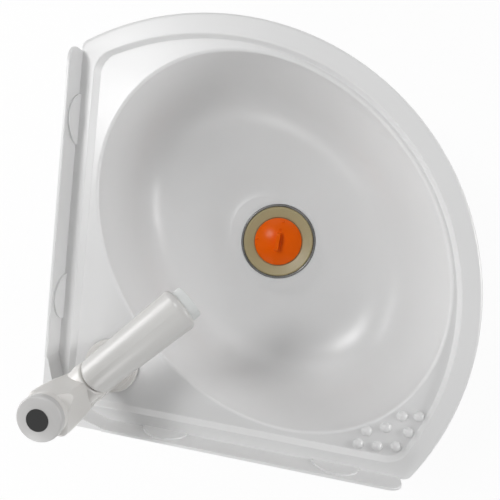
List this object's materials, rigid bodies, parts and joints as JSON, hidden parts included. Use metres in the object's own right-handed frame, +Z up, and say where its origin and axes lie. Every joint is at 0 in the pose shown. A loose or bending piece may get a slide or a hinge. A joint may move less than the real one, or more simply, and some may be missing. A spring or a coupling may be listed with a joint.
{
  "type": "corner washbasin",
  "caption": "Compact plastic corner basin with an oval bowl, low wall upstands, a swivel tap with a round knob, and a dished waste closed by a domed lift-out plug.",
  "frame": {"origin": "corner of the room where the two wall faces of the basin meet, at rim height", "axes": "+X and +Y run along the two walls, away from the corner; +Z is up"},
  "size_m": [0.4063, 0.4063, 0.3629],
  "materials": {
    "shell_plastic": "smooth satin gloss",
    "white_plastic": "smooth satin gloss",
    "pale_plastic": "slightly cloudy, matt",
    "orange_plastic": "glossy",
    "beige_plastic": "satin",
    "grey_plastic": "matt",
    "cap_plastic": "satin",
    "dark_rubber": "matt",
    "bright_metal": "polished",
    "steel": "brushed",
    "brass": "machined"
  },
  "bodies": {
    "basin": {"basin_shell": "shell_plastic", "waste_trim_ring": "bright_metal", "waste_top_gasket": "dark_rubber", "waste_flange": "beige_plastic", "waste_bottom_gasket": "dark_rubber", "waste_body": "grey_plastic", "waste_screw": "steel", "waste_union_nut": "grey_plastic", "waste_union_seal": "dark_rubber", "waste_hose_tail": "grey_plastic", "tap_base": "white_plastic", "tap_gasket": "dark_rubber", "tap_washer": "grey_plastic", "tap_locknut": "grey_plastic", "post_o_rings": "dark_rubber", "post_clip": "steel"},
    "plug": {"plug_body": "orange_plastic", "plug_seal": "dark_rubber"},
    "tap_column": {"tap_body": "white_plastic", "spout_tube": "white_plastic", "spout_o_ring": "dark_rubber", "spout_outlet": "pale_plastic", "outlet_strainer": "steel", "valve_bonnet": "brass"},
    "knob": {"knob": "white_plastic", "knob_cap": "cap_plastic", "knob_screw": "steel", "valve_spindle": "brass", "spindle_o_ring": "dark_rubber"},
    "valve": {"valve_plunger": "brass", "valve_washer": "dark_rubber"}
  },
  "joints": [
    {"name": "plug_lift", "type": "slide", "parent": "basin", "child": "plug", "axis": [0, 0, 1], "range_m": [0, 0.06]},
    {"name": "tap_swivel", "type": "hinge", "parent": "basin", "child": "tap_column", "pos_m": [0.0603, 0.0603, 0], "axis": [0, 0, 1], "range_deg": [-55, 55]},
    {"name": "knob_turn", "type": "hinge", "parent": "tap_column", "child": "knob", "pos_m": [0.0603, 0.0603, 0.14], "axis": [0, 0, 1], "range_deg": [0, 90]},
    {"name": "valve_lift", "type": "slide", "parent": "tap_column", "child": "valve", "axis": [0, 0, 1], "range_m": [0, 0.003]}
  ],
  "couplings": [
    {"joint": "knob_turn", "follows": "valve_lift", "rad_per_m": 523.59}
  ]
}
